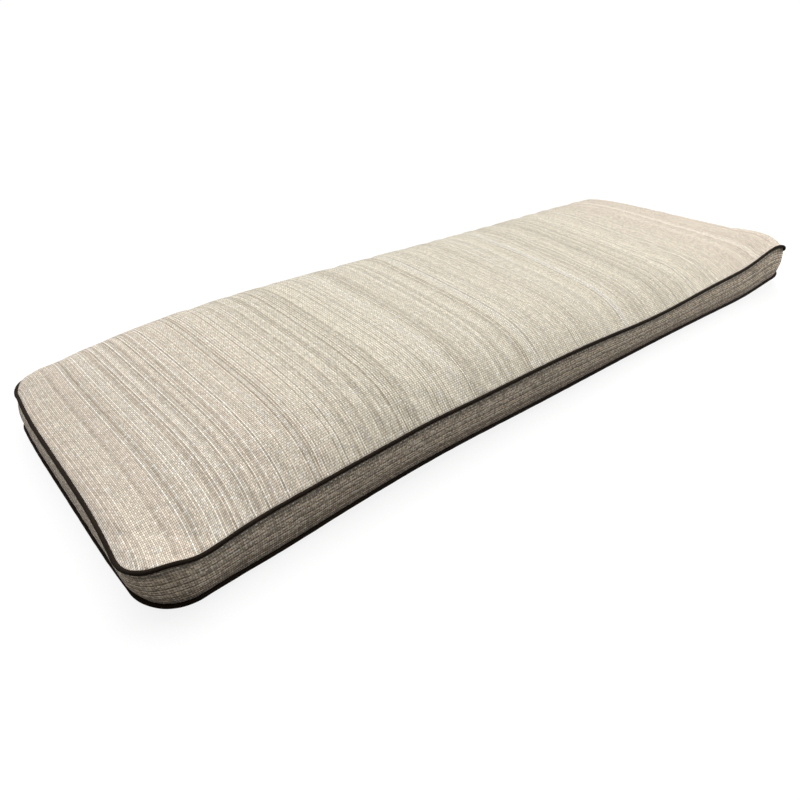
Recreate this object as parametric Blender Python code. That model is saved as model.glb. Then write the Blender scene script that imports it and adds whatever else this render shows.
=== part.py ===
"""A long boxed patio cushion with a dark welt in both seams, at its real size.

The cover is three pieces of striped cloth sewn round a soft filling: a top panel, a band (the
boxing) and a bottom panel. The two seams are drawn in along the sides, the filling lifts the top
into a crown, and the bottom lies flat. A covered cord, the piping, is sewn into each seam.

Metres, +Z up, +X along the cushion. The origin is under its middle, on the face it lies on.
"""

import math

import bmesh
import bpy

# --- Driving dimensions -------------------------------------------------------------------
SEAM_LENGTH = 1.686
SEAM_WIDTH = 0.617
BOXING_DEPTH = 0.0762
CORNER_RADIUS = 0.072
SIDE_DRAW_IN = 0.024
END_DRAW_IN = 0.004
DRAW_IN_POWER = 2.4

CROWN_RISE = 0.063
CROWN_LEFT_END_POWER = 4.3
CROWN_RIGHT_END_POWER = 5.2
CROWN_LEAN_TO_LEFT = 0.51
CROWN_SIDE_POWER = 4.7
CROWN_LEAN_TO_BACK = 0.27

# At the back and the right end the filled top rolls over its seam, which sits lower there.
ROLL_DEPTH = 0.012
ROLL_REACH = 0.011
ROLL_START = -0.10
ROLL_START_LEAN = -0.65
ROLL_SPREAD = 0.33

PIPING_RADIUS = 0.003
SEAM_SINK = 0.0039
BOTTOM_SEAM_HEIGHT = 0.0105

# How the soft seams wander off the drawn-in outline, as uneven as filling and hand-sewing leave
# them. Each row moves the seam near one place, fading out over its reach.
SEAM_SHIFTS = (
    # seam, place, along (-1 left .. 1 right), across (-1 front .. 1 back), move x, y, z, reach
    ("top", "left front corner", -1.0, -1.0, -0.007, -0.011, -0.008, 0.110),
    ("top", "right front corner", 1.0, -1.0, 0.002, -0.002, 0.013, 0.110),
    ("top", "right back corner", 1.0, 1.0, -0.019, 0.004, -0.005, 0.110),
    ("top", "left back corner", -1.0, 1.0, 0.018, 0.008, -0.002, 0.110),
    ("top", "blunt tip of the right front corner", 1.0, -1.0, -0.030, -0.006, -0.024, 0.055),
    ("top", "tip of the left back corner", -1.0, 1.0, -0.011, 0.006, -0.004, 0.050),
    ("top", "full right end", 1.0, 0.0, 0.005, 0.000, 0.000, 0.160),
    ("top", "turn of the left front corner", -0.98, -0.92, -0.003, 0.004, 0.006, 0.035),
    ("top", "kink after that turn", -0.94, -1.0, 0.000, 0.000, 0.013, 0.028),
    ("top", "sag by the left front corner", -0.82, -1.0, 0.000, 0.000, -0.008, 0.110),
    ("top", "lift within that sag", -0.80, -1.0, 0.000, 0.000, 0.005, 0.070),
    ("top", "slight lift left of the middle", -0.42, -1.0, 0.000, 0.000, 0.003, 0.085),
    ("top", "long sag right of the middle", 0.34, -1.0, 0.000, 0.000, -0.014, 0.200),
    ("top", "lift by the right front corner", 0.88, -1.0, 0.000, 0.000, 0.022, 0.085),
    ("bottom", "left front corner", -1.0, -1.0, 0.008, -0.003, 0.000, 0.110),
    ("bottom", "left back corner", -1.0, 1.0, 0.008, 0.000, 0.000, 0.110),
    ("bottom", "right front corner, off the table", 1.0, -1.0, 0.011, 0.008, 0.011, 0.110),
    ("bottom", "lift beside that corner", 0.88, -1.0, 0.000, 0.000, 0.006, 0.085),
    ("bottom", "dip by the left front corner", -0.76, -1.0, 0.000, 0.000, -0.003, 0.085),
    ("bottom", "long lift left of the middle", -0.40, -1.0, 0.000, 0.000, 0.006, 0.190),
)

# The band dips into a crease beside each cord and bulges a little between them.
CREASE_DEPTH = 0.0055
CREASE_OFFSET = -0.0018
BOXING_ROWS = (
    # share of the way down from the top seam, offset outwards from the line between the cords
    (0.26, 0.0016),
    (0.50, 0.0028),
    (0.74, 0.0016),
)

# The bottom panel curves down from its seam to the flat face that the cushion lies on.
BOTTOM_ROWS = (
    # distance in from the bottom crease, share of the seam's height left
    (0.016, 0.34),
    (0.050, 0.0),
)

# How finely each stretch of seam is divided.
LONG_CELLS = 40
SHORT_CELLS = 10
HALF_CORNER_CELLS = 4

COVER_COLOUR = (0.62, 0.55, 0.46, 1.0)
PIPING_COLOUR = (0.022, 0.014, 0.010, 1.0)


# --- The seams ----------------------------------------------------------------------------
def flat_outline():
    """Points of a rounded rectangle, anticlockwise from the middle of the left front corner."""
    half_x = SEAM_LENGTH / 2
    half_y = SEAM_WIDTH / 2
    inner_x = half_x - CORNER_RADIUS
    inner_y = half_y - CORNER_RADIUS
    corners = ((-inner_x, -inner_y), (inner_x, -inner_y), (inner_x, inner_y), (-inner_x, inner_y))
    points = []
    for side in range(4):
        cells = LONG_CELLS if side % 2 == 0 else SHORT_CELLS
        facing = math.radians(90 * side - 90)
        start = corners[side]
        end = corners[(side + 1) % 4]
        for step in range(HALF_CORNER_CELLS):
            angle = facing - math.radians(45) * (1 - step / HALF_CORNER_CELLS)
            points.append(on_arc(start, angle))
        first = on_arc(start, facing)
        last = on_arc(end, facing)
        for step in range(cells):
            share = step / cells
            points.append(
                (first[0] + (last[0] - first[0]) * share, first[1] + (last[1] - first[1]) * share)
            )
        for step in range(HALF_CORNER_CELLS):
            angle = facing + math.radians(45) * step / HALF_CORNER_CELLS
            points.append(on_arc(end, angle))
    return points


def on_arc(centre, angle):
    return (
        centre[0] + CORNER_RADIUS * math.cos(angle),
        centre[1] + CORNER_RADIUS * math.sin(angle),
    )


def seam_line(seam, height):
    """The centre line of one seam's piping: the outline drawn in by the filling, then shifted."""
    line = []
    for x, y in flat_outline():
        along = 2 * x / SEAM_LENGTH
        across = 2 * y / SEAM_WIDTH
        new_x = x - END_DRAW_IN * along * (1 - abs(across) ** DRAW_IN_POWER)
        new_y = y - SIDE_DRAW_IN * across * (1 - abs(along) ** DRAW_IN_POWER)
        new_z = height
        for name, _place, at_along, at_across, move_x, move_y, move_z, reach in SEAM_SHIFTS:
            if name != seam:
                continue
            far_x = x - at_along * SEAM_LENGTH / 2
            far_y = y - at_across * SEAM_WIDTH / 2
            fade = math.exp(-(far_x**2 + far_y**2) / reach**2)
            new_x += move_x * fade
            new_y += move_y * fade
            new_z += move_z * fade
        line.append((new_x, new_y, new_z))
    return line


def roll_depths():
    """How far the seam sits below the filled top beside it, at each point of the outline."""
    depths = []
    for x, y in flat_outline():
        start = ROLL_START + ROLL_START_LEAN * 2 * x / SEAM_LENGTH
        share = min(1.0, max(0.0, (2 * y / SEAM_WIDTH - start) / ROLL_SPREAD))
        depths.append(ROLL_DEPTH * share * share * (3 - 2 * share))
    return depths


def rolled_under(line):
    return [(x, y, z - depth) for (x, y, z), depth in zip(line, roll_depths())]


def outward(line):
    """The level direction that points out of the cushion at each point of a closed line."""
    normals = []
    for index in range(len(line)):
        before = line[index - 1]
        after = line[(index + 1) % len(line)]
        run_x = after[0] - before[0]
        run_y = after[1] - before[1]
        length = math.hypot(run_x, run_y)
        normals.append((run_y / length, -run_x / length))
    return normals


def centred(lines):
    """The lines moved level together, so that the origin is under the middle of the cushion."""
    along = [x for line in lines for x, _, _ in line]
    across = [y for line in lines for _, y, _ in line]
    middle_x = (min(along) + max(along)) / 2
    middle_y = (min(across) + max(across)) / 2
    return [[(x - middle_x, y - middle_y, z) for x, y, z in line] for line in lines]


def moved_out(line, normals, distance):
    return [
        (x + distance * nx, y + distance * ny, z)
        for (x, y, z), (nx, ny) in zip(line, normals)
    ]


# --- The filled cover ---------------------------------------------------------------------
def crown(along, across):
    """Height of the filled top above its seam, fuller towards the left end and the back."""
    power = CROWN_LEFT_END_POWER if along < 0 else CROWN_RIGHT_END_POWER
    lengthwise = (1 - abs(along) ** power) * (1 - CROWN_LEAN_TO_LEFT * along)
    crosswise = (1 - abs(across) ** CROWN_SIDE_POWER) * (1 + CROWN_LEAN_TO_BACK * across)
    return CROWN_RISE * lengthwise * crosswise


def mix(a, b, share):
    return tuple(p + (q - p) * share for p, q in zip(a, b))


def panel_point(sides, share_x, share_y, column, row):
    """A point of the top panel, spanned between its four edges, then rolled up and crowned."""
    front, right, back, left = sides
    between_long = mix(front[column], back[column], share_y)
    between_short = mix(left[row], right[row], share_x)
    between_corners = mix(
        mix(front[0], front[-1], share_x), mix(back[0], back[-1], share_x), share_y
    )
    x, y, z, roll = (a + b - c for a, b, c in zip(between_long, between_short, between_corners))
    from_end = min(share_x, 1 - share_x) * SEAM_LENGTH
    from_side = min(share_y, 1 - share_y) * SEAM_WIDTH
    rolled_up = roll * (1 - math.exp(-min(from_end, from_side) / ROLL_REACH))
    return (x, y, z + rolled_up + crown(2 * share_x - 1, 2 * share_y - 1))


def shares(edge, axis):
    """How far along its edge each point lies, from 0 to 1."""
    first = edge[0][axis]
    span = edge[-1][axis] - first
    return [(point[axis] - first) / span for point in edge]


def add_panel(mesh, crease, rolls):
    """A grid of faces over the top, whose rim is the crease line. Returns the rim's vertices."""
    columns = LONG_CELLS + 2 * HALF_CORNER_CELLS
    rows = SHORT_CELLS + 2 * HALF_CORNER_CELLS
    ring = [(*point, roll) for point, roll in zip(crease, rolls)]
    ring.append(ring[0])
    front = ring[: columns + 1]
    right = ring[columns : columns + rows + 1]
    back = ring[columns + rows : 2 * columns + rows + 1][::-1]
    left = ring[2 * columns + rows :][::-1]
    share_x = shares(front, 0)
    share_y = shares(right, 1)
    grid = [
        [
            mesh.verts.new(
                panel_point((front, right, back, left), share_x[column], share_y[row], column, row)
            )
            for row in range(rows + 1)
        ]
        for column in range(columns + 1)
    ]
    for column in range(columns):
        for row in range(rows):
            mesh.faces.new(
                (
                    grid[column][row],
                    grid[column + 1][row],
                    grid[column + 1][row + 1],
                    grid[column][row + 1],
                )
            )
    rim = [grid[column][0] for column in range(columns)]
    rim += [grid[columns][row] for row in range(rows)]
    rim += [grid[column][rows] for column in range(columns, 0, -1)]
    rim += [grid[0][row] for row in range(rows, 0, -1)]
    return rim


def add_ring(mesh, upper, points):
    """A strip of faces from one ring of vertices down to a new ring."""
    lower = [mesh.verts.new(point) for point in points]
    for index in range(len(upper)):
        after = (index + 1) % len(upper)
        mesh.faces.new((upper[index], lower[index], lower[after], upper[after]))
    return lower


def beside_cord(line, normals, rise):
    """The line where the band comes out from behind a cord, above or below it."""
    return [(x, y, z + rise) for x, y, z in moved_out(line, normals, CREASE_OFFSET)]


def build_body(top_line, bottom_line):
    """The filled cover: top panel, band and bottom panel as one closed solid."""
    top_out = outward(top_line)
    bottom_out = outward(bottom_line)
    top_crease = moved_out(top_line, top_out, -SEAM_SINK)
    bottom_crease = moved_out(bottom_line, bottom_out, -SEAM_SINK)
    mesh = bmesh.new()
    ring = add_panel(mesh, top_crease, roll_depths())
    ring = add_ring(mesh, ring, beside_cord(top_line, top_out, -CREASE_DEPTH))
    for share, offset in BOXING_ROWS:
        between = [mix(a, b, share) for a, b in zip(top_line, bottom_line)]
        ring = add_ring(mesh, ring, moved_out(between, outward(between), offset))
    ring = add_ring(mesh, ring, beside_cord(bottom_line, bottom_out, CREASE_DEPTH))
    ring = add_ring(mesh, ring, bottom_crease)
    for inset, height_left in BOTTOM_ROWS:
        inner = moved_out(bottom_line, bottom_out, -SEAM_SINK - inset)
        ring = add_ring(mesh, ring, [(x, y, z * height_left) for x, y, z in inner])
    mesh.faces.new(ring[::-1])
    bmesh.ops.triangulate(mesh, faces=[face for face in mesh.faces if len(face.verts) > 4])
    bmesh.ops.recalc_face_normals(mesh, faces=mesh.faces)
    data = bpy.data.meshes.new("cushion_body")
    mesh.to_mesh(data)
    mesh.free()
    data.shade_smooth()
    return bpy.data.objects.new("cushion_body", data)


# --- The piping ---------------------------------------------------------------------------
def build_piping(name, line):
    """A closed round cord along one seam."""
    curve = bpy.data.curves.new(name, "CURVE")
    curve.dimensions = "3D"
    curve.bevel_depth = PIPING_RADIUS
    curve.bevel_resolution = 2
    spline = curve.splines.new("POLY")
    spline.points.add(len(line) - 1)
    for point, place in zip(spline.points, line):
        point.co = (*place, 1.0)
    spline.use_cyclic_u = True
    return bpy.data.objects.new(name, curve)


# --- Materials and assembly ---------------------------------------------------------------
def cloth(name, colour, roughness):
    material = bpy.data.materials.new(name)
    material.use_nodes = True
    shader = material.node_tree.nodes["Principled BSDF"]
    shader.inputs["Base Color"].default_value = colour
    shader.inputs["Roughness"].default_value = roughness
    shader.inputs["Metallic"].default_value = 0.0
    return material


def clear_scene():
    for item in list(bpy.data.objects):
        bpy.data.objects.remove(item, do_unlink=True)


def build_cushion():
    parts = bpy.data.collections.new("patio_chair_cushion")
    bpy.context.scene.collection.children.link(parts)
    top_line, bottom_line = centred(
        (
            rolled_under(seam_line("top", BOTTOM_SEAM_HEIGHT + BOXING_DEPTH)),
            seam_line("bottom", BOTTOM_SEAM_HEIGHT),
        )
    )
    body = build_body(top_line, bottom_line)
    body.data.materials.append(cloth("striped_cover_cloth", COVER_COLOUR, 0.9))
    parts.objects.link(body)
    for name, line in (("top_piping", top_line), ("bottom_piping", bottom_line)):
        piping = build_piping(name, line)
        piping.data.materials.append(cloth(f"{name}_cloth", PIPING_COLOUR, 0.85))
        parts.objects.link(piping)


clear_scene()
build_cushion()
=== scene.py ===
"""The looks of a long boxed patio cushion: striped woven cloth with a dark welt in both seams.

Metres, +Z up, +X along the cushion, +Y across it from front to back. It lies on z = 0.
"""

import math

import bpy
import numpy as np
from mathutils import Matrix, Vector


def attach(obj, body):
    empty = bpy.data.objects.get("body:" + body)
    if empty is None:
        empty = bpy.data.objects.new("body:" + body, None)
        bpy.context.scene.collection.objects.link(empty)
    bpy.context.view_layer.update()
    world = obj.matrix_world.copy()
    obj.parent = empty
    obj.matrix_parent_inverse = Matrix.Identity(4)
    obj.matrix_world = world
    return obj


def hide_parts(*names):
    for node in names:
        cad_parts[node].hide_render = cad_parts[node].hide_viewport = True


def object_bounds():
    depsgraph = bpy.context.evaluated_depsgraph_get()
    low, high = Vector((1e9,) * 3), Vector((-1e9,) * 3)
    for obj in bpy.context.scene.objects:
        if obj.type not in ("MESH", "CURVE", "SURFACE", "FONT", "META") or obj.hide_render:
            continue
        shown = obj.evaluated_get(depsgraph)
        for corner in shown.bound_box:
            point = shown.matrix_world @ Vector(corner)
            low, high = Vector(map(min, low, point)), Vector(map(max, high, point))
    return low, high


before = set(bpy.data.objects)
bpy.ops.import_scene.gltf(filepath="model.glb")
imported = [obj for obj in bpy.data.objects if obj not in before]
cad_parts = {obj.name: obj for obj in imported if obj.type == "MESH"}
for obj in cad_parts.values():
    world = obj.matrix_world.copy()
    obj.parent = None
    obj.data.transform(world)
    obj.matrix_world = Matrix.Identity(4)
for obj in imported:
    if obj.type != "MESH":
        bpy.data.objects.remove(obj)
cad_low, cad_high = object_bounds()


# --- The two seams ------------------------------------------------------------------------
# Two closed seams hold the cover together: one joins the top panel to the band round the sides,
# the other joins that band to the bottom panel. Both start as a rounded rectangle. The filling
# draws their long sides in, and hand sewing leaves them a little uneven.
SEAM_LENGTH = 1.686
SEAM_WIDTH = 0.617
CORNER_RADIUS = 0.072
BAND_DEPTH = 0.0762
BOTTOM_SEAM_HEIGHT = 0.0105
SIDE_DRAW_IN = 0.024
END_DRAW_IN = 0.004
DRAW_IN_POWER = 2.4

# Where sewing and filling push a seam off that outline: along (-1 left .. 1 right), across
# (-1 front .. 1 back), how far it moves in x, y and z, and the reach of the move.
TOP_SEAM_SHIFTS = (
    (-1.0, -1.0, -0.007, -0.011, -0.008, 0.110),
    (1.0, -1.0, 0.002, -0.002, 0.013, 0.110),
    (1.0, 1.0, -0.019, 0.004, -0.005, 0.110),
    (-1.0, 1.0, 0.018, 0.008, -0.002, 0.110),
    (1.0, -1.0, -0.030, -0.006, -0.024, 0.055),
    (-1.0, 1.0, -0.011, 0.006, -0.004, 0.050),
    (1.0, 0.0, 0.005, 0.000, 0.000, 0.160),
    (-0.98, -0.92, -0.003, 0.004, 0.006, 0.035),
    (-0.94, -1.0, 0.000, 0.000, 0.013, 0.028),
    (-0.82, -1.0, 0.000, 0.000, -0.008, 0.110),
    (-0.80, -1.0, 0.000, 0.000, 0.005, 0.070),
    (-0.42, -1.0, 0.000, 0.000, 0.003, 0.085),
    (0.34, -1.0, 0.000, 0.000, -0.014, 0.200),
    (0.88, -1.0, 0.000, 0.000, 0.022, 0.085),
)
BOTTOM_SEAM_SHIFTS = (
    (-1.0, -1.0, 0.008, -0.003, 0.000, 0.110),
    (-1.0, 1.0, 0.008, 0.000, 0.000, 0.110),
    (1.0, -1.0, 0.011, 0.008, 0.011, 0.110),
    (0.88, -1.0, 0.000, 0.000, 0.006, 0.085),
    (-0.76, -1.0, 0.000, 0.000, -0.003, 0.085),
    (-0.40, -1.0, 0.000, 0.000, 0.006, 0.190),
)

# At the back and the right end the filled top rolls over its seam, which sits lower there.
ROLL_DEPTH = 0.012
ROLL_REACH = 0.011
ROLL_START = -0.10
ROLL_START_LEAN = -0.65
ROLL_SPREAD = 0.33


def flat_outline(long_cells, short_cells, half_corner_cells):
    """Points round the cut panel, anticlockwise from the middle of its left front corner."""
    inner_x = SEAM_LENGTH / 2 - CORNER_RADIUS
    inner_y = SEAM_WIDTH / 2 - CORNER_RADIUS
    corners = np.array([
        (-inner_x, -inner_y), (inner_x, -inner_y), (inner_x, inner_y), (-inner_x, inner_y),
    ])
    points = []
    for side in range(4):
        start, end = corners[side], corners[(side + 1) % 4]
        facing = math.radians(90 * side - 90)
        cells = long_cells if side % 2 == 0 else short_cells
        turn = math.radians(45) / half_corner_cells
        out = CORNER_RADIUS * np.array([math.cos(facing), math.sin(facing)])
        for step in range(half_corner_cells):
            angle = facing - math.radians(45) + turn * step
            points.append(start + CORNER_RADIUS * np.array([math.cos(angle), math.sin(angle)]))
        for step in range(cells):
            points.append(start + out + (end - start) * step / cells)
        for step in range(half_corner_cells):
            angle = facing + turn * step
            points.append(end + CORNER_RADIUS * np.array([math.cos(angle), math.sin(angle)]))
    return np.array(points)


def seam_line(flat, shifts, height):
    """The middle of the cord in one seam, at each point of the flat outline."""
    along = 2 * flat[:, 0] / SEAM_LENGTH
    across = 2 * flat[:, 1] / SEAM_WIDTH
    line = np.column_stack((flat, np.full(len(flat), height)))
    line[:, 0] -= END_DRAW_IN * along * (1 - np.abs(across) ** DRAW_IN_POWER)
    line[:, 1] -= SIDE_DRAW_IN * across * (1 - np.abs(along) ** DRAW_IN_POWER)
    for at_along, at_across, move_x, move_y, move_z, reach in shifts:
        place = np.array([at_along * SEAM_LENGTH / 2, at_across * SEAM_WIDTH / 2])
        fade = np.exp(-np.sum((flat - place) ** 2, axis=1) / reach**2)
        line += fade[:, None] * np.array([move_x, move_y, move_z])
    return line


def roll_depths(flat):
    """How far the top seam sits below the filled top beside it."""
    start = ROLL_START + ROLL_START_LEAN * 2 * flat[:, 0] / SEAM_LENGTH
    share = np.clip((2 * flat[:, 1] / SEAM_WIDTH - start) / ROLL_SPREAD, 0, 1)
    return ROLL_DEPTH * share**2 * (3 - 2 * share)


def both_seams(flat):
    """The top and bottom seams, moved level so that they lie where the frame has the cushion."""
    top = seam_line(flat, TOP_SEAM_SHIFTS, BOTTOM_SEAM_HEIGHT + BAND_DEPTH)
    top[:, 2] -= roll_depths(flat)
    bottom = seam_line(flat, BOTTOM_SEAM_SHIFTS, BOTTOM_SEAM_HEIGHT)
    ends = np.vstack((top, bottom))[:, :2]
    middle = (np.array(cad_low[:2]) + np.array(cad_high[:2])) / 2
    level = np.append(middle - (ends.min(axis=0) + ends.max(axis=0)) / 2, 0.0)
    return top + level, bottom + level


def moved_out(line, out, rise=0.0):
    """A closed line moved level out of the cushion, and up or down."""
    run = np.roll(line, -1, axis=0) - np.roll(line, 1, axis=0)
    normal = np.column_stack((run[:, 1], -run[:, 0])) / np.hypot(run[:, 0], run[:, 1])[:, None]
    return line + np.column_stack((normal * out, np.full(len(line), rise)))


# --- The filled cover ---------------------------------------------------------------------
# Top panel, band and bottom panel of one striped cloth, sewn closed round a soft filling. The
# filling crowns the top, the band bulges between the cords and the bottom lies flat.
LONG_CELLS = 144
SHORT_CELLS = 44
HALF_CORNER_CELLS = 8
COLUMNS = LONG_CELLS + 2 * HALF_CORNER_CELLS
ROWS = SHORT_CELLS + 2 * HALF_CORNER_CELLS

CROWN_RISE = 0.063
CROWN_LEFT_END_POWER = 4.3
CROWN_RIGHT_END_POWER = 5.2
CROWN_LEAN_TO_LEFT = 0.51
CROWN_SIDE_POWER = 4.7
CROWN_LEAN_TO_BACK = 0.27

# The cloth wraps close behind each cord: distance out from the cord's middle, and up.
BEHIND_CORD = ((-0.0027, 0.0012), (-0.0030, -0.0006), (-0.0024, -0.0024), (-0.0016, -0.0056))
BAND_BULGE = ((0.19, 0.0008), (0.345, 0.0021), (0.50, 0.0028), (0.655, 0.0021), (0.81, 0.0008))
BOTTOM_CURVE_WIDTH = 0.050
BOTTOM_CURVE_POWER = 2.8


def spanned(ring, count_x, count_y):
    """A grid of points spanned between the four edges of a closed line."""
    closed = np.vstack((ring, ring[:1]))
    front = closed[: count_x + 1]
    right = closed[count_x : count_x + count_y + 1]
    back = closed[count_x + count_y : 2 * count_x + count_y + 1][::-1]
    left = closed[2 * count_x + count_y :][::-1]
    share_x = ((front[:, 0] - front[0, 0]) / (front[-1, 0] - front[0, 0]))[:, None, None]
    share_y = ((right[:, 1] - right[0, 1]) / (right[-1, 1] - right[0, 1]))[None, :, None]
    between_long = front[:, None] * (1 - share_y) + back[:, None] * share_y
    between_short = left[None] * (1 - share_x) + right[None] * share_x
    low = front[0] * (1 - share_x) + front[-1] * share_x
    high = back[0] * (1 - share_x) + back[-1] * share_x
    between_corners = low * (1 - share_y) + high * share_y
    return between_long + between_short - between_corners, share_x[:, 0, 0], share_y[0, :, 0]


def crown(share_x, share_y):
    """Height of the filled top above its seam, fuller towards the left end and the back."""
    along = 2 * share_x[:, None] - 1
    across = 2 * share_y[None] - 1
    power = np.where(along < 0, CROWN_LEFT_END_POWER, CROWN_RIGHT_END_POWER)
    lengthwise = (1 - np.abs(along) ** power) * (1 - CROWN_LEAN_TO_LEFT * along)
    crosswise = (1 - np.abs(across) ** CROWN_SIDE_POWER) * (1 + CROWN_LEAN_TO_BACK * across)
    return CROWN_RISE * lengthwise * crosswise


def nearest_on(ring, points):
    """How far each point is from a closed line, and how far round the line the nearest place is."""
    steps = np.linalg.norm(np.roll(ring, -1, axis=0) - ring, axis=1)
    round_line = np.concatenate(([0.0], np.cumsum(steps)[:-1]))
    gaps = np.linalg.norm(points[:, None] - ring[None], axis=2)
    nearest = gaps.argmin(axis=1)
    return gaps.min(axis=1), round_line[nearest]


flat = flat_outline(LONG_CELLS, SHORT_CELLS, HALF_CORNER_CELLS)
top_seam, bottom_seam = both_seams(flat)

top_rim = np.column_stack((moved_out(top_seam, *BEHIND_CORD[0]), roll_depths(flat)))
top_grid, share_x, share_y = spanned(top_rim, COLUMNS, ROWS)
from_end = np.minimum(share_x, 1 - share_x) * SEAM_LENGTH
from_side = np.minimum(share_y, 1 - share_y) * SEAM_WIDTH
rolled = 1 - np.exp(-np.minimum(from_end[:, None], from_side[None]) / ROLL_REACH)
top_grid[:, :, 2] += top_grid[:, :, 3] * rolled + crown(share_x, share_y)
top_grid = top_grid[:, :, :3]

out, rise = BEHIND_CORD[0]
bottom_rim = moved_out(bottom_seam, out, -rise)
bottom_grid = spanned(bottom_rim, COLUMNS, ROWS)[0]
inset = nearest_on(bottom_rim[:, :2], bottom_grid[:, :, :2].reshape(-1, 2))[0]
left_over = np.clip(1 - inset / BOTTOM_CURVE_WIDTH, 0, 1) ** BOTTOM_CURVE_POWER
bottom_grid[:, :, 2] *= left_over.reshape(COLUMNS + 1, ROWS + 1)

band_rings = [moved_out(top_seam, out, rise) for out, rise in BEHIND_CORD[1:]]
for share, bulge in BAND_BULGE:
    band_rings.append(moved_out(top_seam * (1 - share) + bottom_seam * share, bulge))
band_rings += [moved_out(bottom_seam, out, -rise) for out, rise in BEHIND_CORD[:0:-1]]


def grid_rim(first):
    """Numbers of a grid's border points, in the order of the seam."""

    def at(column, row):
        """The number of the point in this column and row."""
        return first + column * (ROWS + 1) + row

    rim = [at(column, 0) for column in range(COLUMNS)]
    rim += [at(COLUMNS, row) for row in range(ROWS)]
    rim += [at(column, ROWS) for column in range(COLUMNS, 0, -1)]
    return rim + [at(0, row) for row in range(ROWS, 0, -1)]


# The top panel is cut a little off the run of the stripes. On the cloth, the band and the bottom
# panel are cut well away from the top panel, so that no stripe of theirs repeats one of its own.
STRIPE_SLANT = 0.0246
BAND_START = 3.0
BOTTOM_START = 6.0


def sewn_together():
    """The cover's points and faces, with each face corner's place on its cut panel in metres."""
    per_grid = (COLUMNS + 1) * (ROWS + 1)
    around = len(flat)
    points = np.vstack([top_grid.reshape(-1, 3), bottom_grid.reshape(-1, 3)] + band_rings)
    flat_grid = spanned(np.column_stack((flat, np.zeros(around))), COLUMNS, ROWS)[0].reshape(-1, 3)
    cut = np.column_stack((flat_grid[:, 0] + STRIPE_SLANT * flat_grid[:, 1], flat_grid[:, 1]))
    faces, corners = [], []
    for first, flip, shift in ((0, False, 0.0), (per_grid, True, BOTTOM_START)):
        for column in range(COLUMNS):
            for row in range(ROWS):
                a = first + column * (ROWS + 1) + row
                b = a + ROWS + 1
                face = (a, a + 1, b + 1, b) if flip else (a, b, b + 1, a + 1)
                faces.append(face)
                corners += [cut[number - first] + (shift, shift) for number in face]
    rings = [grid_rim(0)]
    for index in range(len(band_rings)):
        start = 2 * per_grid + index * around
        rings.append(list(range(start, start + around)))
    rings.append(grid_rim(per_grid))
    steps = np.linalg.norm(np.roll(flat, -1, axis=0) - flat, axis=1)
    length = np.concatenate(([0.0], np.cumsum(steps)))
    depth = [0.0]
    for upper, lower in zip(rings, rings[1:]):
        depth.append(depth[-1] + np.linalg.norm(points[lower] - points[upper], axis=1).mean())
    for ring, (upper, lower) in enumerate(zip(rings, rings[1:])):
        for step in range(around):
            after = (step + 1) % around
            faces.append((upper[step], lower[step], lower[after], upper[after]))
            sides = ((ring, step), (ring + 1, step), (ring + 1, step + 1), (ring, step + 1))
            corners += [(-BAND_START - depth[deep], length[far]) for deep, far in sides]
    return points, faces, np.array(corners), rings, depth[-1]


points, faces, corners, rings, band_depth = sewn_together()
cover_mesh = bpy.data.meshes.new("cushion_cover")
cover_mesh.from_pydata(points.tolist(), [], faces)
cover_mesh.uv_layers.new(name="cloth").data.foreach_set("uv", corners.astype(np.float32).ravel())
cover_mesh.shade_smooth()
cover = bpy.data.objects.new("cushion_cover", cover_mesh)
bpy.context.scene.collection.objects.link(cover)


# Inside, the filling presses on a cover cut a little full, so its cloth stands off the filling in
# slight puckers beside the seams. The crown keeps its height. The cloth that wraps behind the
# cords and the bottom panel are held.
FILLING_PRESSURE = 4.0
CLOTH_FULLNESS = 0.006
PRESSING_STEPS = 20
PUCKER_LIMIT = 0.005
SMOOTHING_PASSES = 30
HELD_RINGS = len(BEHIND_CORD)


def pressed_out(piece, held):
    """How far each point of the piece moves when the filling presses on it."""
    copy = piece.copy()
    copy.data = piece.data.copy()
    bpy.context.scene.collection.objects.link(copy)
    copy.vertex_groups.new(name="held").add(held, 1.0, "REPLACE")
    cloth = copy.modifiers.new("filling", "CLOTH")
    cloth.settings.quality = 5
    cloth.settings.mass = 0.3
    cloth.settings.vertex_group_mass = "held"
    cloth.settings.use_pressure = True
    cloth.settings.uniform_pressure_force = FILLING_PRESSURE
    cloth.settings.shrink_min = -CLOTH_FULLNESS
    cloth.settings.effector_weights.gravity = 0
    cloth.collision_settings.use_collision = False
    for step in range(1, PRESSING_STEPS + 1):
        bpy.context.scene.frame_set(step)
    moved = copy.evaluated_get(bpy.context.evaluated_depsgraph_get()).data
    after = np.empty(len(moved.vertices) * 3, np.float32)
    moved.vertices.foreach_get("co", after)
    bpy.data.objects.remove(copy)
    bpy.context.scene.frame_set(1)
    return after.reshape(-1, 3) - points


def without_swelling(moves, held):
    """The moves with their broad swelling taken out, which leaves the puckers."""
    pairs = np.array([edge.vertices for edge in cover_mesh.edges])
    count = np.bincount(pairs.ravel(), minlength=len(points))[:, None]
    broad = moves.copy()
    for _ in range(SMOOTHING_PASSES):
        around = np.zeros_like(broad)
        np.add.at(around, pairs[:, 0], broad[pairs[:, 1]])
        np.add.at(around, pairs[:, 1], broad[pairs[:, 0]])
        broad = (broad + around / count) / 2
        broad[held] = 0
    return moves - broad


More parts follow.
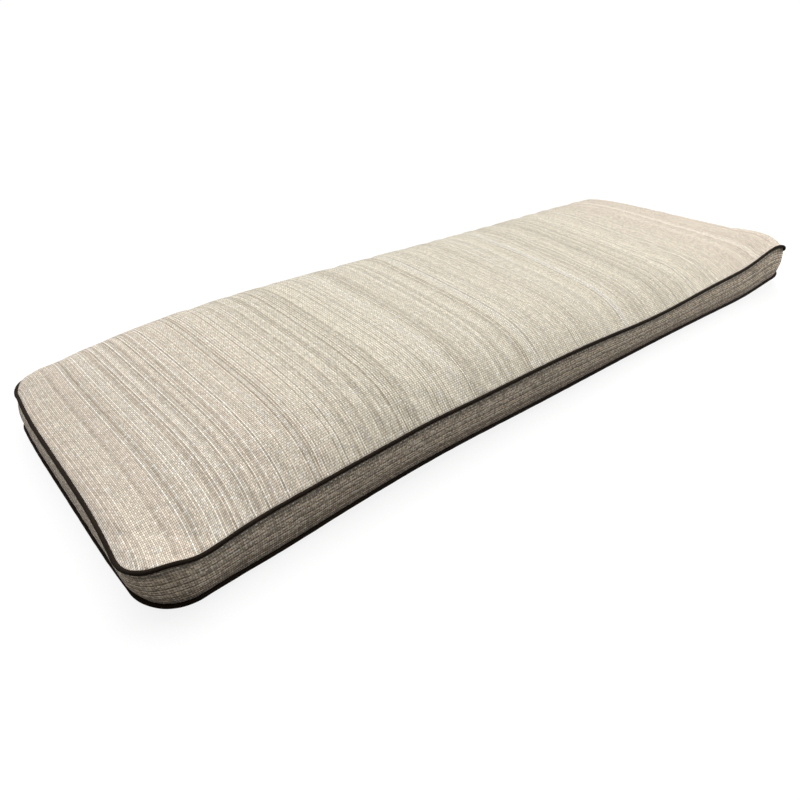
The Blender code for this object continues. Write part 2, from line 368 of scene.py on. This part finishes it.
per_grid = (COLUMNS + 1) * (ROWS + 1)
held_rings = rings[:HELD_RINGS] + rings[-HELD_RINGS:]
held = [number for ring in held_rings for number in ring]
held += list(range(per_grid, 2 * per_grid))
moves = pressed_out(cover, held)
puckers = without_swelling(moves, held)
size = np.maximum(np.linalg.norm(puckers, axis=1)[:, None], 1e-9)
puckers *= PUCKER_LIMIT * np.tanh(size / PUCKER_LIMIT) / size
cover_mesh.vertices.foreach_set("co", (points + puckers).astype(np.float32).ravel())
smooth = cover.modifiers.new("smooth", "SUBSURF")
smooth.levels = 1
smooth.render_levels = 1


# The cloth is a plain weave of doubled, slubby yarns: each warp pair has its own shade, thick and
# thin along its length, and thicker, more even wefts cross it.


def feed(tree, socket, value):
    """Link a node's output to a socket, or set the socket to a plain value."""
    if isinstance(value, bpy.types.NodeSocket):
        tree.links.new(value, socket)
    else:
        socket.default_value = value


def cloth_place(tree, layout):
    """Where each point lies on the cut cloth, in metres."""
    node = tree.nodes.new("ShaderNodeUVMap")
    node.uv_map = layout
    return node.outputs["UV"]


def parts_of(tree, vector):
    """A vector's X, Y and Z."""
    node = tree.nodes.new("ShaderNodeSeparateXYZ")
    tree.links.new(vector, node.inputs[0])
    return node.outputs


def worked_out(tree, operation, first, second=0.0, third=0.0):
    """The result of one sum or function."""
    node = tree.nodes.new("ShaderNodeMath")
    node.operation = operation
    for socket, value in zip(node.inputs, (first, second, third)):
        feed(tree, socket, value)
    return node.outputs[0]


def product(tree, *values):
    """Values multiplied together."""
    result = values[0]
    for value in values[1:]:
        result = worked_out(tree, "MULTIPLY", result, value)
    return result


def stretched(tree, place, along_x, along_y, start=0.0):
    """Uneven shade, 0 to 1, so many times a metre along each way of the cloth."""
    move = tree.nodes.new("ShaderNodeVectorMath")
    move.operation = "MULTIPLY_ADD"
    tree.links.new(place, move.inputs[0])
    move.inputs[1].default_value = (along_x, along_y, 1.0)
    move.inputs[2].default_value = (start, start, 0.0)
    shade = tree.nodes.new("ShaderNodeTexNoise")
    shade.noise_dimensions = "2D"
    shade.inputs["Scale"].default_value = 1.0
    shade.inputs["Detail"].default_value = 1.0
    tree.links.new(move.outputs[0], shade.inputs["Vector"])
    return shade.outputs["Fac"]


def between(tree, value, low, high, to_low=0.0, to_high=1.0):
    """The value spread from one range to another, and held inside it."""
    node = tree.nodes.new("ShaderNodeMapRange")
    node.interpolation_type = "SMOOTHSTEP"
    tree.links.new(value, node.inputs["Value"])
    node.inputs["From Min"].default_value = low
    node.inputs["From Max"].default_value = high
    node.inputs["To Min"].default_value = to_low
    node.inputs["To Max"].default_value = to_high
    return node.outputs["Result"]


def mixed(tree, share, first, second):
    """Two colours mixed by a share. A Mix node's colours are its inputs 6 and 7."""
    node = tree.nodes.new("ShaderNodeMix")
    node.data_type = "RGBA"
    feed(tree, node.inputs[0], share)
    feed(tree, node.inputs[6], first)
    feed(tree, node.inputs[7], second)
    return node.outputs[2]


# How deep the two yarns of a pair part, how fast slubs follow along a yarn, how unlike its
# neighbour's they are, how many warp pairs make a set, and how far from its middle its edges
# start. The two starts keep the numbers of the yarns above nought on every part of the cloth.
PARTING = 0.3
SLUB_RATE = 0.09
YARN_TO_YARN = 5.37
PAIRS_IN_A_SET = 5.0
SET_EDGE = 0.3
WARP_START = 4000.5
SET_START = 6000.5


def make_plain_weave():
    """Node group: doubled yarns, one pair over and one under, with a chance shade for each pair,
    for each crossing and for each set of five warp pairs."""
    group = bpy.data.node_groups.new("plain_weave", "ShaderNodeTree")
    group.interface.new_socket("Place", in_out="INPUT", socket_type="NodeSocketVector")
    group.interface.new_socket("Warp spacing", in_out="INPUT", socket_type="NodeSocketFloat")
    group.interface.new_socket("Weft spacing", in_out="INPUT", socket_type="NodeSocketFloat")
    for name in (
        "Warp shade", "Warp slubs", "Second warp", "Set shade", "Set edge",
        "Crossing shade", "Float shade", "Relief", "Warp on top",
    ):
        group.interface.new_socket(name, in_out="OUTPUT", socket_type="NodeSocketFloat")
    given = group.nodes.new("NodeGroupInput").outputs
    result = group.nodes.new("NodeGroupOutput")
    place = parts_of(group, given["Place"])
    u = worked_out(group, "DIVIDE", place["X"], given["Warp spacing"])
    v = worked_out(group, "DIVIDE", place["Y"], given["Weft spacing"])
    warp, weft = worked_out(group, "FLOOR", u), worked_out(group, "FLOOR", v)

    def pair(first, second):
        """Two numbers as one place."""
        node = group.nodes.new("ShaderNodeCombineXYZ")
        for socket, value in zip(node.inputs, (first, second)):
            if value is not None:
                group.links.new(value, socket)
        return node.outputs[0]

    def chance(first, second=None):
        """A chance shade, 0 to 1, for each number or pair of numbers."""
        shade = group.nodes.new("ShaderNodeTexWhiteNoise")
        shade.noise_dimensions = "2D"
        group.links.new(pair(first, second), shade.inputs["Vector"])
        return shade.outputs["Value"]

    def humps(turn):
        """A round hump for each half turn."""
        return worked_out(group, "ABSOLUTE", worked_out(group, "SINE", turn))

    def yarn_rise(across, along, number, sign):
        """How high each pair of yarns stands: two round backs that go over, then under."""
        turn = product(group, across, math.pi)
        parted = humps(product(group, turn, 2.0))
        width = worked_out(group, "MULTIPLY_ADD", parted, PARTING, 1 - PARTING)
        wave = product(group, worked_out(group, "ADD", along, number), math.pi)
        over = worked_out(group, "MULTIPLY_ADD", worked_out(group, "SINE", wave), 0.5 * sign, 0.5)
        return product(group, humps(turn), width, over)

    slubs = group.nodes.new("ShaderNodeTexNoise")
    slubs.noise_dimensions = "2D"
    slubs.inputs["Scale"].default_value = 1.0
    along_yarn = pair(product(group, warp, YARN_TO_YARN), product(group, v, SLUB_RATE))
    group.links.new(along_yarn, slubs.inputs["Vector"])
    warp_rise, weft_rise = yarn_rise(u, v, warp, 1), yarn_rise(v, u, weft, -1)
    in_sets = worked_out(group, "DIVIDE", worked_out(group, "ADD", warp, SET_START), PAIRS_IN_A_SET)
    off_middle = worked_out(group, "SUBTRACT", worked_out(group, "FRACT", in_sets), 0.5)
    off_middle = worked_out(group, "ABSOLUTE", off_middle)
    in_twos = worked_out(group, "FLOOR", worked_out(group, "DIVIDE", warp, 2.0))
    values = {
        "Warp shade": chance(worked_out(group, "ADD", warp, WARP_START)),
        "Warp slubs": slubs.outputs["Fac"],
        "Second warp": worked_out(group, "PINGPONG", warp, 1.0),
        "Set shade": chance(worked_out(group, "FLOOR", in_sets)),
        "Set edge": worked_out(group, "GREATER_THAN", off_middle, SET_EDGE),
        "Crossing shade": chance(warp, weft),
        "Float shade": chance(in_twos, weft),
        "Relief": worked_out(group, "MAXIMUM", warp_rise, weft_rise),
        "Warp on top": worked_out(group, "GREATER_THAN", warp_rise, weft_rise),
    }
    for name, value in values.items():
        group.links.new(value, result.inputs[name])
    return group


plain_weave = make_plain_weave()


def weave(tree, place, warp_spacing, weft_spacing):
    """The plain weave at this place on the cloth, with yarns so far apart."""
    node = tree.nodes.new("ShaderNodeGroup")
    node.node_tree = plain_weave
    tree.links.new(place, node.inputs["Place"])
    node.inputs["Warp spacing"].default_value = warp_spacing
    node.inputs["Weft spacing"].default_value = weft_spacing
    return node.outputs


def scaled(tree, colour, *shares):
    """A colour made lighter or darker by each share in turn."""
    for share in shares:
        node = tree.nodes.new("ShaderNodeVectorMath")
        node.operation = "SCALE"
        tree.links.new(colour, node.inputs[0])
        tree.links.new(share, node.inputs["Scale"])
        colour = node.outputs[0]
    return colour


# Yarn spacings in metres, colours, and the chances, 0 to 1, by which a yarn, set or crossing is an
# odd one: it starts to show at the first number and is full at the second, as strong as the last.
WARP_SPACING = 0.0023
WEFT_SPACING = 0.0037
CREAM = (0.98, 0.915, 0.755, 1.0)
SAND = (0.96, 0.89, 0.725, 1.0)
PINK_TAN = (0.935, 0.80, 0.675, 1.0)
BRIGHT_CREAM = (1.0, 0.96, 0.87, 1.0)
TAUPE = (0.44, 0.33, 0.23, 1.0)
WEFT_TAN = (0.67, 0.59, 0.46, 1.0)
DARK_YARNS = (0.12, 0.07, 0.0, 0.60)
PALE_YARNS = (0.86, 0.92, 0.0, 1.0)
PALE_SETS = (0.95, 0.97, 0.0, 1.0)
WEFT_FLOATS = (0.88, 0.94, 0.0, 0.60)
PALE_INSIDE_SET = 0.20

stripes = bpy.data.materials.new("striped_cover_cloth")
stripes.use_nodes = True
tree = stripes.node_tree
shader = tree.nodes["Principled BSDF"]
place = cloth_place(tree, "cloth")
yarns = weave(tree, place, WARP_SPACING, WEFT_SPACING)

# The ground drifts between cream and sand along the cushion, and turns pinker towards both ends.
across_panel = parts_of(tree, place)["X"]
from_middle = worked_out(tree, "ABSOLUTE", across_panel)
ground = mixed(tree, between(tree, stretched(tree, place, 30, 0.10), 0.38, 0.62), SAND, CREAM)
pink = product(
    tree,
    between(tree, stretched(tree, place, 17, 0.10, 9.0), 0.40, 0.60, 0.70, 1.0),
    between(tree, from_middle, 0.35, 0.72, 0.10, 1.0),
)
ground = mixed(tree, pink, ground, PINK_TAN)

# A few warp pairs are dark or pale, more strongly where the yarn is thick. The stripes are busier
# in places and fainter towards the right end. Where a weft is on top, its tan shows.
WARP_SEEN_OVER = 0.98
WARP_SEEN_UNDER = 0.38
strength = between(tree, across_panel, 0.10, 0.70, 1.0, 0.60)
busy = between(tree, stretched(tree, place, 14, 0.10, 6.0), 0.38, 0.60, 0.6, 1.0)
slub = product(tree, between(tree, yarns["Warp slubs"], 0.30, 0.60, 0.5, 1.0), strength, busy)
dark_yarn = product(tree, between(tree, yarns["Warp shade"], *DARK_YARNS), slub)
pale_yarn = product(tree, between(tree, yarns["Warp shade"], *PALE_YARNS), slub)
warp_colour = mixed(tree, dark_yarn, ground, TAUPE)
warp_colour = mixed(tree, pale_yarn, warp_colour, BRIGHT_CREAM)
warp_share = between(tree, yarns["Warp on top"], 0.0, 1.0, WARP_SEEN_UNDER, WARP_SEEN_OVER)
cloth_colour = mixed(tree, warp_share, WEFT_TAN, warp_colour)

# Now and then a set of warp pairs is pale, most of all at its two edges, with darker gaps inside.
pale_set = product(tree, between(tree, yarns["Set shade"], *PALE_SETS), strength)
inside_set = product(tree, pale_set, worked_out(tree, "SUBTRACT", 1.0, yarns["Set edge"]))
gap = product(tree, inside_set, worked_out(tree, "SUBTRACT", 1.0, yarns["Warp on top"]))
pale_inside = product(tree, inside_set, PALE_INSIDE_SET)
pale = worked_out(tree, "MULTIPLY_ADD", pale_set, yarns["Set edge"], pale_inside)
cloth_colour = mixed(tree, pale, cloth_colour, BRIGHT_CREAM)

# A few wefts float pale over two warp pairs.
weft_float = product(tree, between(tree, yarns["Float shade"], *WEFT_FLOATS), strength)
cloth_colour = mixed(tree, weft_float, cloth_colour, BRIGHT_CREAM)

# The hollows between the yarns are darkened with painted shade, and every pair and crossing has its
# own shade, which shows more on the band, where painted raking light strengthens it and darkens the
# band. Painted shade darkens the cloth in the crease above the lower cord.
FROM_PANEL_TO_BAND = (-2.0, -2.5)
PAINTED_RAKING_POWER = 2.6
CREASE_START = 0.002
CREASE_WIDTH = 0.004
CREASE_SHADE = 0.5
# Painted shade: the colour darkens where the yarns sink, in the hollows between them.
painted_hollow_shade = between(tree, yarns["Relief"], 0.05, 0.62, 0.27, 1.11)
shades = []
for chance, at_nought, at_one in (
    (yarns["Crossing shade"], 0.84, 1.14),
    (yarns["Warp shade"], 0.86, 1.10),
    (yarns["Second warp"], 0.88, 1.08),
    (gap, 1.0, 0.84),
):
    shades.append(between(tree, chance, 0.0, 1.0, at_nought, at_one))
shade = product(tree, *shades)
# Painted raking light: on the band the yarn shades are raised to a power, which strengthens them
# and darkens the band.
painted_raking_contrast = between(tree, across_panel, *FROM_PANEL_TO_BAND, 1.0, PAINTED_RAKING_POWER)
shade = worked_out(tree, "POWER", shade, painted_raking_contrast)
# Painted shade: the band's colour is halved close above the lower cord, where the crease is shaded.
painted_crease = CREASE_START - BAND_START - band_depth
painted_crease = between(tree, across_panel, painted_crease, painted_crease + CREASE_WIDTH, CREASE_SHADE, 1.0)
cloth_colour = scaled(tree, cloth_colour, painted_hollow_shade, shade, painted_crease)
tree.links.new(cloth_colour, shader.inputs["Base Color"])
cloth_roughness = between(tree, yarns["Relief"], 0.0, 1.0, 0.95, 0.82)
tree.links.new(cloth_roughness, shader.inputs["Roughness"])
shader.inputs["Specular IOR Level"].default_value = 0.25
shader.inputs["Sheen Weight"].default_value = 0.20
shader.inputs["Sheen Roughness"].default_value = 0.55
bump = tree.nodes.new("ShaderNodeBump")
bump.inputs["Strength"].default_value = 0.6
bump.inputs["Distance"].default_value = 0.0005
tree.links.new(yarns["Relief"], bump.inputs["Height"])
tree.links.new(bump.outputs["Normal"], shader.inputs["Normal"])
cover.data.materials.append(stripes)

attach(cover, "root")
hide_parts("cushion_body")


# --- The piping ---------------------------------------------------------------------------
# A cotton cord in a bias strip of dark brown cloth. The strip is folded round the cord, and its
# edges are caught in the seam, all the way round the cushion.
CORD_RADIUS = 0.0032
CORD_STEPS = 16
CORD_LONG_CELLS = 300
CORD_SHORT_CELLS = 90
CORD_HALF_CORNER_CELLS = 12

# How uneven the cord is: waves round the cushion, their share of the radius, and their start.
CORD_WAVES = ((61, 0.02, 0.0), (97, 0.02, 1.0), (173, 0.015, 2.0))


def piping(name, line):
    """A closed round cord along one seam, a little uneven where the strip was pulled tight."""
    count = len(line)
    run = np.roll(line, -1, axis=0) - np.roll(line, 1, axis=0)
    run /= np.linalg.norm(run, axis=1)[:, None]
    side = np.cross(run, (0.0, 0.0, 1.0))
    side /= np.linalg.norm(side, axis=1)[:, None]
    up = np.cross(side, run)
    steps = np.linalg.norm(np.roll(line, -1, axis=0) - line, axis=1)
    length = np.concatenate(([0.0], np.cumsum(steps)))
    turns = length[:-1] / length[-1] * 2 * math.pi
    uneven = np.ones(count)
    for waves, share, start in CORD_WAVES:
        uneven += share * np.sin(waves * turns + start)
    angles = (np.arange(CORD_STEPS) * 2 * math.pi / CORD_STEPS)[None, :, None]
    ring = side[:, None] * np.cos(angles) + up[:, None] * np.sin(angles)
    places = line[:, None] + ring * (CORD_RADIUS * uneven)[:, None, None]
    faces, corners = [], []
    girth = 2 * math.pi * CORD_RADIUS / CORD_STEPS
    for index in range(count):
        here, after = index * CORD_STEPS, (index + 1) % count * CORD_STEPS
        for step in range(CORD_STEPS):
            beside = (step + 1) % CORD_STEPS
            faces.append((here + step, after + step, after + beside, here + beside))
            sides = ((index, step), (index + 1, step), (index + 1, step + 1), (index, step + 1))
            for far, turn in sides:
                x, y = length[far], turn * girth
                corners.append(((x + y) / math.sqrt(2), (y - x) / math.sqrt(2)))
    mesh = bpy.data.meshes.new(name)
    mesh.from_pydata(places.reshape(-1, 3).tolist(), [], faces)
    mesh.uv_layers.new(name="bias").data.foreach_set("uv", np.array(corners, np.float32).ravel())
    mesh.shade_smooth()
    cord = bpy.data.objects.new(name, mesh)
    bpy.context.scene.collection.objects.link(cord)
    return cord


DARK_BROWN = (0.014, 0.0085, 0.0055, 1.0)
WORN_BROWN = (0.038, 0.025, 0.016, 1.0)
BIAS_YARN_SPACING = 0.0007

brown = bpy.data.materials.new("brown_bias_cloth")
brown.use_nodes = True
tree = brown.node_tree
shader = tree.nodes["Principled BSDF"]
place = cloth_place(tree, "bias")
yarns = weave(tree, place, BIAS_YARN_SPACING, BIAS_YARN_SPACING)
worn_crossing = between(tree, yarns["Crossing shade"], 0.3, 1.0, 0.0, 0.7)
worn_patch = between(tree, stretched(tree, place, 30, 30), 0.52, 0.75, 0.0, 0.35)
cord_colour = mixed(tree, worn_crossing, DARK_BROWN, WORN_BROWN)
cord_colour = mixed(tree, worn_patch, cord_colour, WORN_BROWN)
tree.links.new(cord_colour, shader.inputs["Base Color"])
cord_roughness = between(tree, yarns["Relief"], 0.0, 1.0, 0.95, 0.78)
tree.links.new(cord_roughness, shader.inputs["Roughness"])
shader.inputs["Specular IOR Level"].default_value = 0.12
shader.inputs["Sheen Weight"].default_value = 0.03
shader.inputs["Sheen Roughness"].default_value = 0.5
bump = tree.nodes.new("ShaderNodeBump")
bump.inputs["Strength"].default_value = 0.5
bump.inputs["Distance"].default_value = 0.0003
tree.links.new(yarns["Relief"], bump.inputs["Height"])
tree.links.new(bump.outputs["Normal"], shader.inputs["Normal"])

seams = both_seams(flat_outline(CORD_LONG_CELLS, CORD_SHORT_CELLS, CORD_HALF_CORNER_CELLS))
for name, node, line in zip(("top_welt", "bottom_welt"), ("top_piping", "bottom_piping"), seams):
    welt = piping(name, line)
    welt.data.materials.append(brown)
    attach(welt, "root")
    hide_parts(node)


# --- The studio ---------------------------------------------------------------------------
# A wide pale floor in even light, one very wide soft light overhead, a little behind and to the
# right, and three smaller ones: behind the middle, behind the left end and beyond the right end.
# The floor and the air look brighter than the light that they throw on the cushion, and the floor
# lies a hair under its flat face.
FLOOR_HALF_SIZE = 30.0
FLOOR_HEIGHT = -0.0008
FLOOR_SEEN = (0.18, 0.18, 0.18, 1.0)
FLOOR_THROWN_LIGHT = (0.18, 0.155, 0.13, 1.0)
FLOOR_GLOW_SEEN = (0.86, 0.86, 0.86, 1.0)
FLOOR_GLOW_THROWN = (0.0, 0.0, 0.0, 1.0)
AIR_SEEN = (1.0, 1.0, 1.0, 1.0)
AIR_THROWN_LIGHT = (0.16, 0.16, 0.16, 1.0)


def make_floor():
    """A wide, matt, pale floor."""
    material = bpy.data.materials.new("pale_floor")
    material.use_nodes = True
    tree = material.node_tree
    shader = tree.nodes["Principled BSDF"]
    shader.inputs["Roughness"].default_value = 1.0
    shader.inputs["Specular IOR Level"].default_value = 0.0
    seen = tree.nodes.new("ShaderNodeLightPath").outputs["Is Camera Ray"]
    floor_colour = mixed(tree, seen, FLOOR_THROWN_LIGHT, FLOOR_SEEN)
    tree.links.new(floor_colour, shader.inputs["Base Color"])
    glow = mixed(tree, seen, FLOOR_GLOW_THROWN, FLOOR_GLOW_SEEN)
    tree.links.new(glow, shader.inputs["Emission Color"])
    shader.inputs["Emission Strength"].default_value = 1.0
    mesh = bpy.data.meshes.new("studio_floor")
    ends = ((-1, -1), (1, -1), (1, 1), (-1, 1))
    places = [(x * FLOOR_HALF_SIZE, y * FLOOR_HALF_SIZE, FLOOR_HEIGHT) for x, y in ends]
    mesh.from_pydata(places, [], [(0, 1, 2, 3)])
    mesh.materials.append(material)
    floor = bpy.data.objects.new("studio_floor", mesh)
    bpy.context.scene.collection.objects.link(floor)
    return floor


make_floor()

world = bpy.data.worlds.new("studio_air")
bpy.context.scene.world = world
world.use_nodes = True
tree = world.node_tree
seen = tree.nodes.new("ShaderNodeLightPath").outputs["Is Camera Ray"]
air_colour = mixed(tree, seen, AIR_THROWN_LIGHT, AIR_SEEN)
tree.links.new(air_colour, tree.nodes["Background"].inputs["Color"])


def hang(name, kind, place, aim, **settings):
    """A lamp at one place, turned to shine at another."""
    light = bpy.data.lights.new(name, kind)
    for setting, value in settings.items():
        setattr(light, setting, value)
    lamp = bpy.data.objects.new(name, light)
    lamp.location = place
    lamp.rotation_euler = (Vector(aim) - Vector(place)).to_track_quat("-Z", "Y").to_euler()
    bpy.context.scene.collection.objects.link(lamp)


hang(
    "wide_soft_light", "SUN", (0.8, 1.1, 4.0), (0.0, 0.0, 0.0),
    energy=2.28, angle=math.radians(50),
)
hang("back_light", "AREA", (1.6, 1.2, 2.2), (0.5, 0.0, 0.1), energy=6.5, size=1.5)
hang("left_light", "AREA", (-1.7, 1.0, 1.5), (-0.7, 0.1, 0.1), energy=6.0, size=0.8)
hang(
    "side_light", "AREA", (1.9, -0.8, 0.7), (0.85, -0.2, 0.05),
    energy=11.0, size=0.5, color=(1.0, 0.96, 0.90),
)


# The camera stands in front of the left end, a little over a metre away, and looks down along the
# cushion's length.
camera_data = bpy.data.cameras.new("studio_camera")
camera_data.lens = 31.06
camera_data.sensor_width = 36.0
camera = bpy.data.objects.new("studio_camera", camera_data)
heading, tilt, roll = math.radians(39.481), math.radians(33.109), math.radians(-0.471)
camera.matrix_world = (
    Matrix.Translation((-0.95961, -0.94594, 0.71486))
    @ Matrix.Rotation(-heading, 4, "Z")
    @ Matrix.Rotation(math.pi / 2 - tilt, 4, "X")
    @ Matrix.Rotation(roll, 4, "Z")
)
bpy.context.scene.collection.objects.link(camera)
bpy.context.scene.camera = camera
bpy.context.scene.view_settings.view_transform = "Standard"
